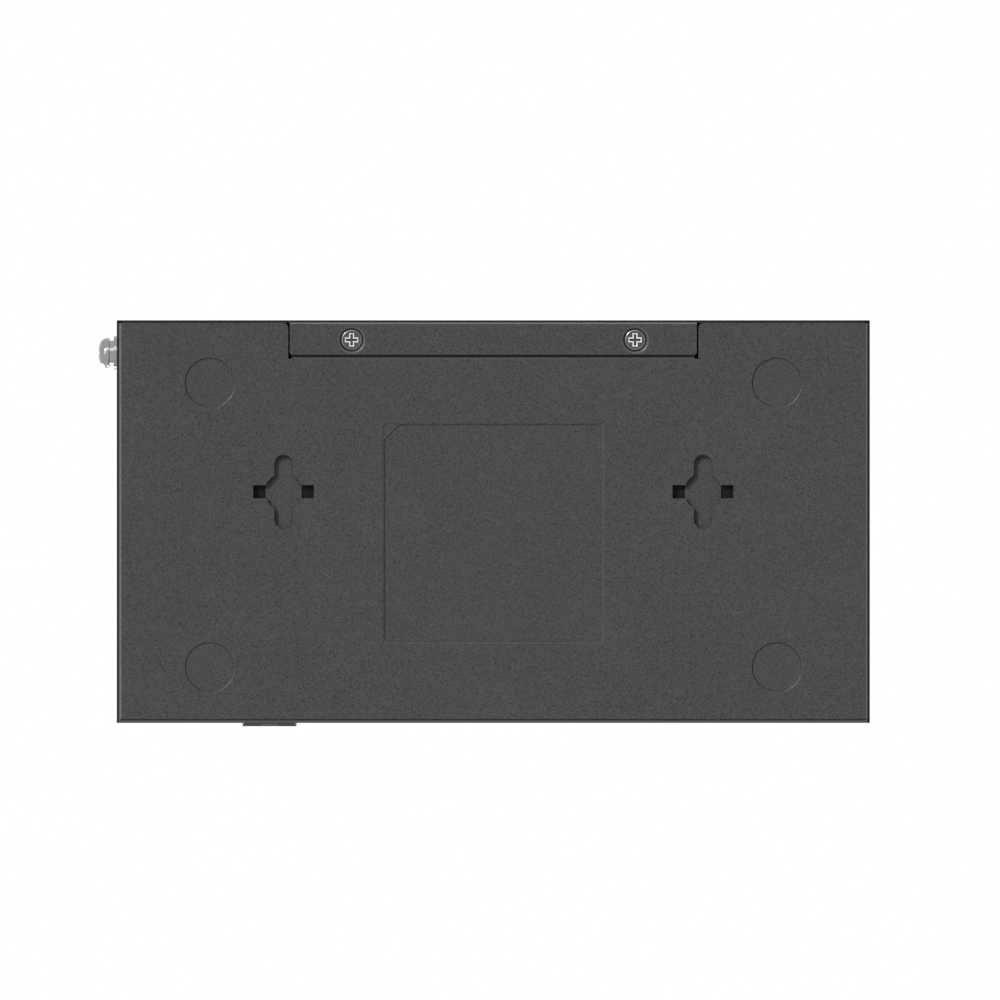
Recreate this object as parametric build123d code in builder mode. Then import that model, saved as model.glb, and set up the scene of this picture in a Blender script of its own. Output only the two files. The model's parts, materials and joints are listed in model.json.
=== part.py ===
from build123d import *
import os

# Desktop router with several wide-area ports in a folded steel case, in millimetres.
# +X is to the right seen from the ports, +Y to the rear, +Z up.
# The origin is the centre of the footprint, on the surface that the case stands on.

# Case
case_width = 202.0
case_depth = 108.0
case_height = 28.0
base_sheet = 0.8
cover_sheet = 0.6
panel_sheet = 0.7
base_bend = 1.1
cover_bend = 1.05
panel_bend = 0.95
seam = 0.12
nest_gap = 0.1

# Flap of the cover under the tray, and the tray's joggled tab behind it
flap_width = 109.2
flap_depth = 9.23
flap_corner = 0.8
flap_relief = 0.6
flap_relief_height = 2.0
tab_side_inset = 0.6
tab_rear_gap = 1.0
notch_gap = 0.59
notch_side_gap = 0.4
notch_corner = 1.4
relief_square = 1.0
joggle_run = 0.56
wall_corner = 1.8
cover_return = 4.2
flange_over_vents = 2.1

# Screws that hold the cover: M3 countersunk
cover_screw_inset = 16.0
cover_screw_from_rear = 5.25
seat_radius = 3.35
cover_head_radius = 2.7
cover_head_depth = 0.5
cover_head_chamfer = 0.2
m3_radius = 1.5
m3_core_radius = 1.25
cover_screw_length = 5.5
cross_span = 3.8
cross_width = 1.15
cross_depth = 1.2
cross_taper = 15
tab_boss_radius = 2.3
tab_boss_height = 1.6
thread_clearance = 0.05

# Pressed places in the tray's floor
foot_pad_radius = 6.65
foot_side_inset = 24.95
foot_end_inset = 15.85
foot_centre_y = -0.9
foot_press = 0.25
label_width = 58.5
label_depth = 58.4
label_centre_y = -3.1
label_chamfer = 4.1
label_corner = 1.0
label_press = 0.3
press_slope = 45

# Keyholes for wall screws and the guards welded over them
keyhole_pitch = 112.5
keyhole_y = 8.0
keyhole_radius = 4.9
keyhole_slot = 4.7
keyhole_length = 19.6
keyhole_junction = 0.4
edge_break = 0.15
window_span = 16.2
window_height = 3.45
guard_sheet = 0.6
guard_width = 9.7
guard_clear = 1.2
guard_flange = 4.0
guard_margin = 1.2

# Slots for air in both side walls
vent_count = 11
vent_pitch = 5.4
vent_width = 1.8
vent_height = 12.0
vent_centre_y = -8.0
vent_centre_z = 10.5

# Ground screw on the right-hand wall: M4 pan head with its washers and nut
ground_from_rear = 8.75
ground_z = 13.0
m4_radius = 2.0
m4_core_radius = 1.65
ground_hole_clearance = 0.15
ground_screw_length = 8.0
ground_head_radius = 4.0
ground_head_height = 2.95
ground_head_round = 2.5
ground_cross_span = 4.4
ground_cross_width = 1.2
ground_cross_depth = 1.7
flat_washer_radius = 4.5
flat_washer_height = 0.8
spring_washer_radius = 3.35
spring_washer_height = 1.15
spring_washer_split = 0.6
split_slant = 25
nut_flats = 7.0
nut_height = 3.2
nut_sides = 6

# Front panel
ear_length = 9.0
ear_low = 5.0
ear_under_flange = 1.5
ear_gap = 0.1
cutout_gap = 0.15

# Main board and what carries it
board_sheet = 1.6
board_low = 5.0
board_side_gap = 6.0
board_front_gap = 2.5
board_rear_gap = 3.5
board_corner = 2.0
board_tab_clearance = 3.0
standoff_radius = 3.0
standoff_side_inset = 7.0
standoff_end_inset = 15.5
standoff_sides = 6
board_screw_flats = 5.5
board_screw_sides = 6
board_screw_head_height = 2.0
board_screw_head_bevel = 0.3
board_screw_length = 5.0
board_hole_clearance = 0.2
film_sheet = 0.2
film_margin = 3.0
film_cutout_margin = 1.5

# Sockets for eight-way network plugs
port_count = 5
port_pitch = 18.0
port_last_x = 38.0
port_width = 16.0
port_height = 13.4
port_length = 16.2
port_recess = 0.2
port_skin = 0.25
plug_width = 11.9
plug_height = 6.9
plug_depth = 13.0
plug_floor = 3.1
latch_width = 6.4
latch_drop = 1.5
tip_width = 3.4
tip_drop = 1.0
contact_count = 8
contact_pitch = 1.02
contact_width = 0.45
contact_sheet = 0.3
contact_front = 2.6
contact_drop = 2.2
contact_reach = 8.6

# Cage for a plug-in optical module
cage_from_ports = 22.0
cage_width = 14.1
cage_height = 9.7
cage_length = 48.7
cage_skin = 0.3
cage_reach = 0.88
cage_vent_radius = 1.4
cage_vent_sides = 6
cage_vent_pitch = 4.5
cage_vent_count_across = 2
cage_vent_count_along = 7
collar_sheet = 0.15
collar_ring = 0.35
finger_bulge = 0.23
finger_length = 3.0
finger_crest = 0.9
finger_gap = 0.45
wide_finger_count = 6
tall_finger_count = 4
latch_tongue = 5.0
latch_tongue_length = 7.0
latch_tongue_gap = 0.4
latch_hole_radius = 1.25
latch_hole_sides = 3
latch_lead_start = 0.13
latch_lead_length = 0.45
latch_lead_drop = 0.25
module_socket_width = 11.2
module_socket_height = 6.8
module_socket_length = 8.5
module_slot_width = 9.6
module_slot_height = 1.6
module_slot_depth = 5.5

# Inlet for the power plug
power_from_side = 21.0
power_body_width = 9.0
power_body_height = 11.0
power_body_length = 14.2
power_axis_height = 6.5
power_mouth_radius = 3.15
power_mouth_depth = 11.0
power_pin_radius = 1.0
power_root_radius = 1.25
power_pin_short = 1.0
power_pin_chamfer = 0.3
power_hole_radius = 4.1
power_spring_sheet = 0.3
power_spring_width = 2.0
power_spring_seat = 0.45
power_spring_bow = 0.8
power_spring_end = 1.2
power_spring_flat = 1.5
power_spring_gap = 0.1
power_wall_gap = 0.3

# Slot in the rear wall for a security lock
lock_from_side = 15.0
lock_z = 12.0
lock_length = 7.0
lock_height = 3.0
lock_corner = 0.75

# Lamps, their light pipes and the reset switch
lamp_count = 7
lamp_pitch = 5.6
lamps_from_ports = 20.4
lamp_z = 14.0
lamp_length = 2.0
lamp_width = 1.2
lamp_height = 0.8
pipe_width = 2.6
pipe_height = 1.4
pipe_recess = 0.2
pipe_leg = 2.2
pipe_drop_depth = 7.0
pipe_lamp_gap = 0.3
pipe_web_height = 2.0
pipe_web_sheet = 1.0
pipe_clearance = 0.15
reset_from_ports = 13.5
reset_hole_radius = 1.0
reset_body_width = 6.0
reset_body_height = 3.5
reset_body_length = 3.6
reset_body_depth = 5.0
reset_stem_width = 2.6
reset_stem_height = 1.4
reset_stem_length = 2.2
reset_stem_z = 1.9
reset_stem_seat = 0.5
reset_stem_clearance = 0.1
reset_travel = 0.25

# Chips and their coolers
processor_place = (6.0, 8.0)
processor_side = 17.0
processor_height = 1.4
switch_place = (-38.0, 4.0)
switch_side = 14.0
switch_height = 1.0
pad_sheet = 0.5
sink_side = 30.0
sink_base = 1.6
sink_height = 9.0
sink_fin_count = 9
sink_fin = 1.0
memory_from_processor = [(28.0, 8.0), (28.0, -8.0)]
memory_size = (8.0, 13.3, 1.1)
flash_place = (-8.0, 33.0)
flash_size = (5.3, 5.3, 1.9)
transformer_depth = 27.0
transformer_size = (15.2, 7.2, 5.4)
inductors_from_inlet = [(4.0, -32.0), (4.0, -46.0), (-20.0, -32.0)]
inductor_side = 7.0
inductor_height = 4.0
inductor_corner = 1.2
capacitors_from_inlet = [(-10.0, -20.0), (-20.0, -20.0), (-8.0, -46.0), (-8.0, -34.0)]
capacitor_radius = 3.15
capacitor_height = 7.7
capacitor_base = 1.2
capacitor_base_side = 6.6
crystal_places = [(-15.0, 18.0), (-54.0, 12.0)]
crystal_size = (5.0, 3.2, 1.0)

# What follows from the sizes above
half_width = case_width / 2
front_face = -case_depth / 2
rear_face = case_depth / 2
tab_width = flap_width - 2 * tab_side_inset
cover_screw_pitch = tab_width - 2 * cover_screw_inset
foot_pitch_x = case_width - 2 * foot_side_inset
foot_pitch_y = case_depth - 2 * foot_end_inset
ground_y = rear_face - ground_from_rear
board_half_width = half_width - board_side_gap
board_front = front_face + board_front_gap
board_rear = rear_face - board_rear_gap
standoff_x = board_half_width - standoff_side_inset
standoff_ys = (board_front + standoff_end_inset, board_rear - standoff_end_inset)
panel_back = front_face + panel_sheet
tray_front = panel_back + seam
rear_inner = rear_face - cover_sheet
tray_rear = rear_inner - seam
wall_inner = half_width - base_sheet
wall_top = case_height - cover_sheet - nest_gap
cover_half = wall_inner - nest_gap
flange_low = vent_centre_z + vent_height / 2 + flange_over_vents
ear_high = flange_low - ear_under_flange
flap_front = rear_face - flap_depth
notch_front = flap_front - notch_gap
notch_half = flap_width / 2 + notch_side_gap
cover_screw_y = rear_face - cover_screw_from_rear
tab_low = cover_sheet
tab_top = tab_low + base_sheet
tab_front = notch_front - joggle_run
board_top = board_low + board_sheet
port_front = front_face + port_recess
port_base = board_top
port_xs = [port_last_x - port_pitch * i for i in range(port_count)]
cage_x = port_last_x + cage_from_ports
plug_low = port_base + plug_floor
plug_top = plug_low + plug_height
cage_front = front_face - cage_reach
cage_rear = cage_front + cage_length
cage_mid_z = board_top + cage_height / 2
lamp_xs = [port_xs[-1] - lamps_from_ports - lamp_pitch * i for i in range(lamp_count)]
pipe_drop_y = front_face + pipe_drop_depth
reset_x = port_xs[-1] - reset_from_ports
reset_body_front = front_face + reset_body_depth
power_x = half_width - power_from_side
lock_x = -half_width + lock_from_side
power_rear = rear_inner - power_wall_gap
power_z = board_top + power_axis_height
side_signs = (-1, 1)
upright = 90


def level(z, x=0, y=0):
    """A plane facing up at height z."""
    return Plane(origin=(x, y, z))


def facing_front(y, x=0, z=0):
    """A plane facing the ports, drawn with +X to the right and +Z up."""
    return Plane(origin=(x, y, z), x_dir=(1, 0, 0), z_dir=(0, -1, 0))


def facing_right(x, y=0, z=0):
    """A plane facing +X, drawn with +Y to the right and +Z up."""
    return Plane(origin=(x, y, z), x_dir=(0, 1, 0), z_dir=(1, 0, 0))


def folded_section(points, radius, sheet):
    """The section of a folded sheet whose outer side follows the points and which lies to their left."""
    with BuildSketch() as section:
        with BuildLine():
            FilletPolyline(*points, radius=radius)
            offset(amount=sheet, side=Side.LEFT)
        make_face()
    return section.sketch


def joggled_section(points, sheet):
    """The section of a sheet with shallow steps: the points, and the same points raised by the sheet."""
    raised = [(y, z + sheet) for y, z in reversed(points)]
    with BuildSketch() as section:
        with BuildLine():
            Polyline(*points, *raised, close=True)
        make_face()
    return section.sketch


def in_keyhole(edge):
    """Whether an edge lies on the outline of a keyhole."""
    place = edge.center()
    across = abs(abs(place.X) - keyhole_pitch / 2)
    return across < window_span / 2 + seam and abs(place.Y - keyhole_y) < keyhole_length / 2 + seam


def save(part, name):
    """Label a finished part and write its file."""
    part.label = name
    export_step(part, f"parts/{name}.step")


os.makedirs("parts", exist_ok=True)

# Shapes that are cut from or pressed into the floor
with BuildSketch() as label_shape:
    with Locations((0, label_centre_y)):
        Rectangle(label_width, label_depth)
    corners = label_shape.vertices().group_by(Axis.Y)
    rear_right = corners[-1].sort_by(Axis.X)[-1]
    chamfer(rear_right, label_chamfer)
    square_corners = label_shape.vertices().filter_by(
        lambda v: v.X < 0 or v.Y < label_centre_y - label_depth / 2 + label_corner)
    fillet(square_corners, label_corner)

with BuildSketch() as keyhole_shape:
    with GridLocations(keyhole_pitch, 0, 2, 1):
        with Locations((0, keyhole_y)):
            Circle(keyhole_radius)
            SlotOverall(keyhole_length, keyhole_slot, rotation=upright)
            Rectangle(window_span, window_height)
    slot_junctions = keyhole_shape.vertices().filter_by(
        lambda v: abs(abs(v.Y - keyhole_y) - keyhole_radius) < keyhole_radius - keyhole_slot / 2
        and abs(v.Y - keyhole_y) > window_height
        and abs(v.Y - keyhole_y) < keyhole_radius)
    fillet(slot_junctions, keyhole_junction)

tray_section = folded_section(
    [(-half_width, wall_top), (-half_width, 0), (half_width, 0), (half_width, wall_top)],
    base_bend, base_sheet)
tab_section = joggled_section(
    [(tab_front, 0), (notch_front, tab_low), (tray_rear - tab_rear_gap, tab_low)], base_sheet)

# Tray: floor and both side walls from one sheet
with BuildPart() as base_tray:
    with BuildSketch(facing_front(tray_front)):
        add(tray_section)
    extrude(amount=-(tray_rear - tray_front))

    # Tongues of the walls that run forward to the face, over the ears of the front panel
    with BuildSketch(facing_right(wall_inner)):
        with Locations(((front_face + tray_front) / 2, (ear_low + ear_high) / 2)):
            Rectangle(tray_front - front_face, ear_high - ear_low)
    extrude(amount=base_sheet)
    mirror(about=Plane.YZ)

    # Notch for the flap, with relief squares beside the tab
    with BuildSketch(level(0)) as notch:
        with Locations((0, notch_front)):
            Rectangle(2 * notch_half, tray_rear - notch_front, align=(Align.CENTER, Align.MIN))
        with Locations((0, tab_front)):
            Rectangle(tab_width, tray_rear - tab_front, align=(Align.CENTER, Align.MIN))
        with GridLocations(tab_width + relief_square, 0, 2, 1):
            with Locations((0, notch_front)):
                Rectangle(relief_square, relief_square)
    extrude(amount=base_sheet, mode=Mode.SUBTRACT)
    slit_corners = base_tray.edges().filter_by(Axis.Z).filter_by(
        lambda e: e.length < 2 * base_sheet and abs(abs(e.center().X) - notch_half) < seam
        and e.center().Y > tray_rear - seam)
    fillet(slit_corners, notch_corner)

    # Tab set inward by the thickness of the flap, with drawn bosses for the screws
    with BuildSketch(facing_right(-tab_width / 2)):
        add(tab_section)
    extrude(amount=tab_width)
    with BuildSketch(level(tab_top)):
        with GridLocations(cover_screw_pitch, 0, 2, 1):
            with Locations((0, cover_screw_y)):
                Circle(tab_boss_radius)
    extrude(amount=tab_boss_height)
    with BuildSketch(level(tab_low)):
        with GridLocations(cover_screw_pitch, 0, 2, 1):
            with Locations((0, cover_screw_y)):
                Circle(m3_radius + thread_clearance)
    extrude(amount=base_sheet + tab_boss_height, mode=Mode.SUBTRACT)
    with BuildSketch(level(tab_low)):
        with GridLocations(cover_screw_pitch, 0, 2, 1):
            with Locations((0, cover_screw_y)):
                Circle(seat_radius - cover_sheet)
    extrude(amount=seat_radius - cover_sheet - m3_radius, taper=press_slope, mode=Mode.SUBTRACT)

    # Foot pads and label place are pressed up, so the floor keeps its thickness
    with BuildSketch(level(base_sheet)):
        with GridLocations(foot_pitch_x, foot_pitch_y, 2, 2):
            with Locations((0, foot_centre_y)):
                Circle(foot_pad_radius)
    extrude(amount=foot_press, taper=press_slope)
    with BuildSketch(level(base_sheet)):
        add(label_shape.sketch)
    extrude(amount=label_press, taper=press_slope)
    with BuildSketch(level(0)):
        with GridLocations(foot_pitch_x, foot_pitch_y, 2, 2):
            with Locations((0, foot_centre_y)):
                Circle(foot_pad_radius)
    extrude(amount=foot_press, taper=press_slope, mode=Mode.SUBTRACT)
    with BuildSketch(level(0)):
        add(label_shape.sketch)
    extrude(amount=label_press, taper=press_slope, mode=Mode.SUBTRACT)

    # Keyholes
    with BuildSketch(level(0)):
        add(keyhole_shape.sketch)
    extrude(amount=base_sheet, mode=Mode.SUBTRACT)
    keyhole_edges = base_tray.edges().group_by(Axis.Z)[0].filter_by(in_keyhole)
    chamfer(keyhole_edges, edge_break)

    # Air slots through both walls, and the hole for the ground screw
    with BuildSketch(facing_right(-half_width, vent_centre_y, vent_centre_z)):
        with GridLocations(vent_pitch, 0, vent_count, 1):
            Rectangle(vent_width, vent_height)
    extrude(amount=case_width, mode=Mode.SUBTRACT)
    with BuildSketch(facing_right(wall_inner, ground_y, ground_z)):
        Circle(m4_radius + ground_hole_clearance)
    extrude(amount=base_sheet, mode=Mode.SUBTRACT)
save(base_tray.part, "base_tray")

# Guards over the keyholes: a strap along Y on two welded feet
guard_low = base_sheet + guard_clear
guard_rise = keyhole_length / 2 + guard_margin
guard_end = guard_rise + guard_clear + guard_flange
guard_section = joggled_section(
    [(-guard_end, base_sheet), (-guard_rise - guard_clear, base_sheet), (-guard_rise, guard_low),
     (guard_rise, guard_low), (guard_rise + guard_clear, base_sheet), (guard_end, base_sheet)],
    guard_sheet)
for side, name in zip(side_signs, ("keyhole_guard_left", "keyhole_guard_right")):
    with BuildPart() as guard:
        with BuildSketch(facing_right(side * keyhole_pitch / 2 - guard_width / 2, keyhole_y)):
            add(guard_section)
        extrude(amount=guard_width)
    save(guard.part, name)

# Cover: top with inner side flanges, rear wall and the flap folded under
flange_rear = rear_face - cover_return
rear_section = folded_section(
    [(rear_face, 0), (rear_face, case_height), (flange_rear, case_height)],
    cover_bend, cover_sheet)
flap_section = folded_section(
    [(flap_front, 0), (rear_face, 0), (rear_face, flap_relief_height + cover_bend)],
    cover_bend, cover_sheet)
top_section = folded_section(
    [(cover_half, flange_low), (cover_half, case_height),
     (-cover_half, case_height), (-cover_half, flange_low)],
    cover_bend, cover_sheet)
with BuildPart() as top_cover:
    with BuildSketch(facing_right(-half_width)):
        add(rear_section)
    extrude(amount=case_width)
    fillet(top_cover.edges().filter_by(Axis.Y).group_by(Axis.Z)[0], wall_corner)
    with BuildSketch(facing_front(flange_rear)):
        add(top_section)
    extrude(amount=flange_rear - panel_back)

    # Relief slots beside the flap, then the flap itself
    with BuildSketch(facing_front(rear_inner)):
        Rectangle(flap_width + 2 * flap_relief, flap_relief_height, align=(Align.CENTER, Align.MIN))
    extrude(amount=-cover_sheet, mode=Mode.SUBTRACT)
    with BuildSketch(facing_right(-flap_width / 2)):
        add(flap_section)
    extrude(amount=flap_width)
    fillet(top_cover.edges().filter_by(Axis.Z).filter_by(
        lambda e: abs(e.center().Y - flap_front) < seam), flap_corner)
    with BuildSketch(level(0)):
        with GridLocations(cover_screw_pitch, 0, 2, 1):
            with Locations((0, cover_screw_y)):
                Circle(seat_radius)
    extrude(amount=cover_sheet, taper=press_slope, mode=Mode.SUBTRACT)

    # Openings for the power inlet and the lock
    with BuildSketch(facing_front(rear_inner)):
        with Locations((power_x, power_z)):
            Circle(power_hole_radius)
        with Locations((lock_x, lock_z)):
            RectangleRounded(lock_length, lock_height, lock_corner)
    extrude(amount=-cover_sheet, mode=Mode.SUBTRACT)
save(top_cover.part, "top_cover")

# Front panel: a plate with two ears bent back inside the side walls
ear_rear = panel_back + ear_length
ear_section = folded_section(
    [(-cover_half, ear_rear), (-cover_half, front_face), (cover_half, front_face), (cover_half, ear_rear)],
    panel_bend, panel_sheet)
with BuildPart() as front_panel:
    with BuildSketch(facing_front(front_face)):
        with Locations((0, case_height / 2)):
            RectangleRounded(case_width, case_height, base_bend)
    extrude(amount=-panel_sheet)
    with BuildSketch(facing_front(front_face)):
        with GridLocations(2 * cover_half, 0, 2, 1):
            with Locations((0, (ear_low + ear_high) / 2)):
                Rectangle(2 * (panel_bend + seam), ear_high - ear_low)
    extrude(amount=-panel_sheet, mode=Mode.SUBTRACT)
    with BuildSketch(level(ear_low + ear_gap)):
        add(ear_section)
    extrude(amount=ear_high - ear_low - 2 * ear_gap)

    # Cut-outs for the sockets, the module cage, the light pipes and the reset pin
    with BuildSketch(facing_front(front_face)):
        with Locations(*[(x, port_base + port_height / 2) for x in port_xs]):
            Rectangle(port_width + 2 * cutout_gap, port_height + 2 * cutout_gap)
        with Locations((cage_x, cage_mid_z)):
            Rectangle(cage_width + 2 * (finger_bulge + collar_sheet + cutout_gap),
                      cage_height + 2 * (finger_bulge + collar_sheet + cutout_gap))
        with Locations(*[(x, lamp_z) for x in lamp_xs]):
            Rectangle(pipe_width + 2 * pipe_clearance, pipe_height + 2 * pipe_clearance)
        with Locations((reset_x, board_top + reset_stem_z)):
            Circle(reset_hole_radius)
    extrude(amount=-panel_sheet, mode=Mode.SUBTRACT)
save(front_panel.part, "front_panel")

# Standoffs pressed into the floor, the board on them and its screws
standoff_places = [(side * standoff_x, y) for side in side_signs for y in standoff_ys]
with BuildPart() as standoffs:
    with BuildSketch(level(base_sheet)):
        with Locations(*standoff_places):
            RegularPolygon(standoff_radius, standoff_sides)
            Circle(m3_radius + thread_clearance, mode=Mode.SUBTRACT)
    extrude(amount=board_low - base_sheet)
save(standoffs.part, "standoffs")

board_notch_half = flap_width / 2 + board_tab_clearance
board_notch_front = tab_front - board_tab_clearance
with BuildPart() as main_board:
    with BuildSketch(level(board_low)) as board_outline:
        with Locations((0, (board_front + board_rear) / 2)):
            Rectangle(2 * board_half_width, board_rear - board_front)
        with Locations((0, board_notch_front)):
            Rectangle(2 * board_notch_half, board_rear - board_notch_front,
                      align=(Align.CENTER, Align.MIN), mode=Mode.SUBTRACT)
        fillet(board_outline.vertices(), board_corner)
        with Locations(*standoff_places):
            Circle(m3_radius + board_hole_clearance, mode=Mode.SUBTRACT)
    extrude(amount=board_sheet)
save(main_board.part, "main_board")

with BuildPart() as board_screws:
    with BuildSketch(level(board_top)):
        with Locations(*standoff_places):
            RegularPolygon(board_screw_flats / 2, board_screw_sides, major_radius=False)
    extrude(amount=board_screw_head_height)
    chamfer(board_screws.edges().group_by(Axis.Z)[-1], board_screw_head_bevel)
    with BuildSketch(level(board_top)):
        with Locations(*standoff_places):
            Circle(m3_radius)
    extrude(amount=-board_screw_length)
save(board_screws.part, "board_screws")

# Black film between the floor and the board, lying on the guards
film_low = guard_low + guard_sheet
with BuildPart() as insulating_film:
    with BuildSketch(level(film_low)):
        with Locations((0, (tray_front + board_notch_front) / 2)):
            Rectangle(2 * board_half_width, board_notch_front - tray_front - 2 * film_margin)
        with Locations(*standoff_places):
            Circle(standoff_radius + film_cutout_margin, mode=Mode.SUBTRACT)
    extrude(amount=film_sheet)
save(insulating_film.part, "insulating_film")

# Countersunk screws through the flap into the tab
cone_height = cover_head_radius - m3_radius
cone_low = seat_radius - cover_head_radius
with BuildPart() as countersunk_screw:
    with BuildSketch(Plane.XZ):
        with BuildLine():
            Polyline((0, cover_head_depth), (cover_head_radius - cover_head_chamfer, cover_head_depth),
                     (cover_head_radius, cone_low), (m3_radius, cone_low + cone_height),
                     (m3_radius, cover_head_depth + cover_screw_length - m3_radius + m3_core_radius),
                     (m3_core_radius, cover_head_depth + cover_screw_length),
                     (0, cover_head_depth + cover_screw_length), close=True)
        make_face()
    revolve(axis=Axis.Z)
    with BuildSketch(level(cover_head_depth)):
        Rectangle(cross_span, cross_width)
        Rectangle(cross_width, cross_span)
    extrude(amount=cross_depth, taper=cross_taper, mode=Mode.SUBTRACT)
with BuildPart() as cover_screws:
    with GridLocations(cover_screw_pitch, 0, 2, 1):
        with Locations((0, cover_screw_y)):
            add(countersunk_screw.part)
save(cover_screws.part, "cover_screws")

# Ground screw with its washers outside the wall and its nut inside
washer_face = half_width + flat_washer_height
head_seat = washer_face + spring_washer_height
with BuildPart() as ground_washer:
    with BuildSketch(facing_right(half_width, ground_y, ground_z)):
        Circle(flat_washer_radius)
        Circle(m4_radius + ground_hole_clearance, mode=Mode.SUBTRACT)
    extrude(amount=flat_washer_height)
save(ground_washer.part, "ground_washer")

with BuildPart() as ground_spring_washer:
    with BuildSketch(facing_right(washer_face, ground_y, ground_z)):
        Circle(spring_washer_radius)
        Circle(m4_radius + ground_hole_clearance, mode=Mode.SUBTRACT)
        with Locations((0, spring_washer_radius)):
            Rectangle(spring_washer_split, 2 * spring_washer_radius, rotation=split_slant,
                      align=(Align.CENTER, Align.CENTER), mode=Mode.SUBTRACT)
    extrude(amount=spring_washer_height)
save(ground_spring_washer.part, "ground_spring_washer")

with BuildPart() as ground_screw:
    with BuildSketch(facing_right(head_seat, ground_y, ground_z)):
        Circle(ground_head_radius)
    extrude(amount=ground_head_height)
    fillet(ground_screw.edges().group_by(Axis.X)[-1], ground_head_round)
    with BuildSketch(facing_right(head_seat, ground_y, ground_z)):
        Circle(m4_radius)
    extrude(amount=-ground_screw_length)
    with BuildSketch(facing_right(head_seat + ground_head_height, ground_y, ground_z)):
        Rectangle(ground_cross_span, ground_cross_width)
        Rectangle(ground_cross_width, ground_cross_span)
    extrude(amount=-ground_cross_depth, taper=cross_taper, mode=Mode.SUBTRACT)
save(ground_screw.part, "ground_screw")

with BuildPart() as ground_nut:
    with BuildSketch(facing_right(wall_inner, ground_y, ground_z)):
        RegularPolygon(nut_flats / 2, nut_sides, major_radius=False)
        Circle(m4_radius + thread_clearance, mode=Mode.SUBTRACT)
    extrude(amount=-nut_height)
save(ground_nut.part, "ground_nut")

# Network sockets: folded shield, moulded housing and eight spring contacts each
port_rear = port_front + port_length
plug_mid = (plug_low + plug_top) / 2
for number, x in enumerate(port_xs, start=1):
    with BuildSketch() as plug_hole:
        with Locations((0, plug_mid)):
            Rectangle(plug_width, plug_height)
        with Locations((0, plug_low)):
            Rectangle(latch_width, latch_drop, align=(Align.CENTER, Align.MAX))
        with Locations((0, plug_low - latch_drop)):
            Rectangle(tip_width, tip_drop, align=(Align.CENTER, Align.MAX))

    with BuildPart() as port_shield:
        with BuildSketch(facing_front(port_front, x)):
            with Locations((0, port_base)):
                Rectangle(port_width, port_height, align=(Align.CENTER, Align.MIN))
        extrude(amount=-port_length)
        with BuildSketch(facing_front(port_front + port_skin, x)):
            with Locations((0, port_base)):
                Rectangle(port_width - 2 * port_skin, port_height - port_skin,
                          align=(Align.CENTER, Align.MIN))
        extrude(amount=-(port_length - 2 * port_skin), mode=Mode.SUBTRACT)
        with BuildSketch(facing_front(port_front, x)):
            add(plug_hole.sketch)
        extrude(amount=-port_skin, mode=Mode.SUBTRACT)
    save(port_shield.part, f"port_shield_{number}")

    with BuildPart() as port_housing:
        with BuildSketch(facing_front(port_front + port_skin, x)):
            with Locations((0, port_base)):
                Rectangle(port_width - 2 * port_skin, port_height - port_skin,
                          align=(Align.CENTER, Align.MIN))
        extrude(amount=-(port_length - 2 * port_skin))
        with BuildSketch(facing_front(port_front + port_skin, x)):
            add(plug_hole.sketch)
        extrude(amount=-plug_depth, mode=Mode.SUBTRACT)
    save(port_housing.part, f"port_housing_{number}")

    with BuildPart() as port_contacts:
        for row in range(contact_count):
            contact_x = x + (row - (contact_count - 1) / 2) * contact_pitch - contact_width / 2
            hook_y = port_front + contact_front
            with BuildSketch(facing_right(contact_x)):
                with BuildLine():
                    Polyline((port_front + port_skin + plug_depth, plug_top),
                             (hook_y, plug_top), (hook_y, plug_top - contact_sheet),
                             (hook_y + contact_reach, plug_top - contact_drop - contact_sheet),
                             (hook_y + contact_reach, plug_top - contact_drop),
                             (hook_y + contact_sheet + contact_reach / contact_drop * contact_sheet,
                              plug_top - contact_sheet),
                             (port_front + port_skin + plug_depth, plug_top - contact_sheet), close=True)
                make_face()
            extrude(amount=contact_width)
    save(port_contacts.part, f"port_contacts_{number}")

# Module cage: a folded box on the board, open at the face and over its connector
with BuildPart() as module_cage:
    with BuildSketch(facing_front(cage_front, cage_x, cage_mid_z)):
        Rectangle(cage_width, cage_height)
    extrude(amount=-cage_length)
    with BuildSketch(facing_front(cage_front, cage_x, cage_mid_z)):
        Rectangle(cage_width - 2 * cage_skin, cage_height - 2 * cage_skin)
    extrude(amount=-(cage_length - cage_skin), mode=Mode.SUBTRACT)

    # Opening in the floor for the connector, and the slit tongue that latches a module
    with BuildSketch(level(board_top, cage_x, cage_rear)):
        Rectangle(module_socket_width + 2 * cutout_gap, module_socket_length + 2 * cage_skin,
                  align=(Align.CENTER, Align.MAX))
    extrude(amount=cage_skin, mode=Mode.SUBTRACT)
    with BuildSketch(level(board_top, cage_x, cage_front)):
        with GridLocations(latch_tongue + latch_tongue_gap, 0, 2, 1):
            Rectangle(latch_tongue_gap, latch_tongue_length, align=(Align.CENTER, Align.MIN))
        with Locations((0, latch_tongue_length / 2)):
            RegularPolygon(latch_hole_radius, latch_hole_sides, rotation=-upright)
    extrude(amount=cage_skin, mode=Mode.SUBTRACT)

    # Ramp under the tip of the tongue
    lead_front = cage_front + latch_lead_start
    with BuildSketch(facing_right(cage_x - latch_tongue / 2)):
        with BuildLine():
            Polyline((lead_front, board_top), (lead_front + latch_lead_length, board_top),
                     (lead_front + latch_lead_length, board_top - latch_lead_drop), close=True)
        make_face()
    extrude(amount=latch_tongue)

    # Six-sided vents in the roof
    with BuildSketch(level(board_top + cage_height, cage_x, (cage_front + cage_rear) / 2)):
        with GridLocations(cage_vent_pitch, cage_vent_pitch, cage_vent_count_across, cage_vent_count_along):
            RegularPolygon(cage_vent_radius, cage_vent_sides)
    extrude(amount=-cage_skin, mode=Mode.SUBTRACT)
save(module_cage.part, "module_cage")

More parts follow.
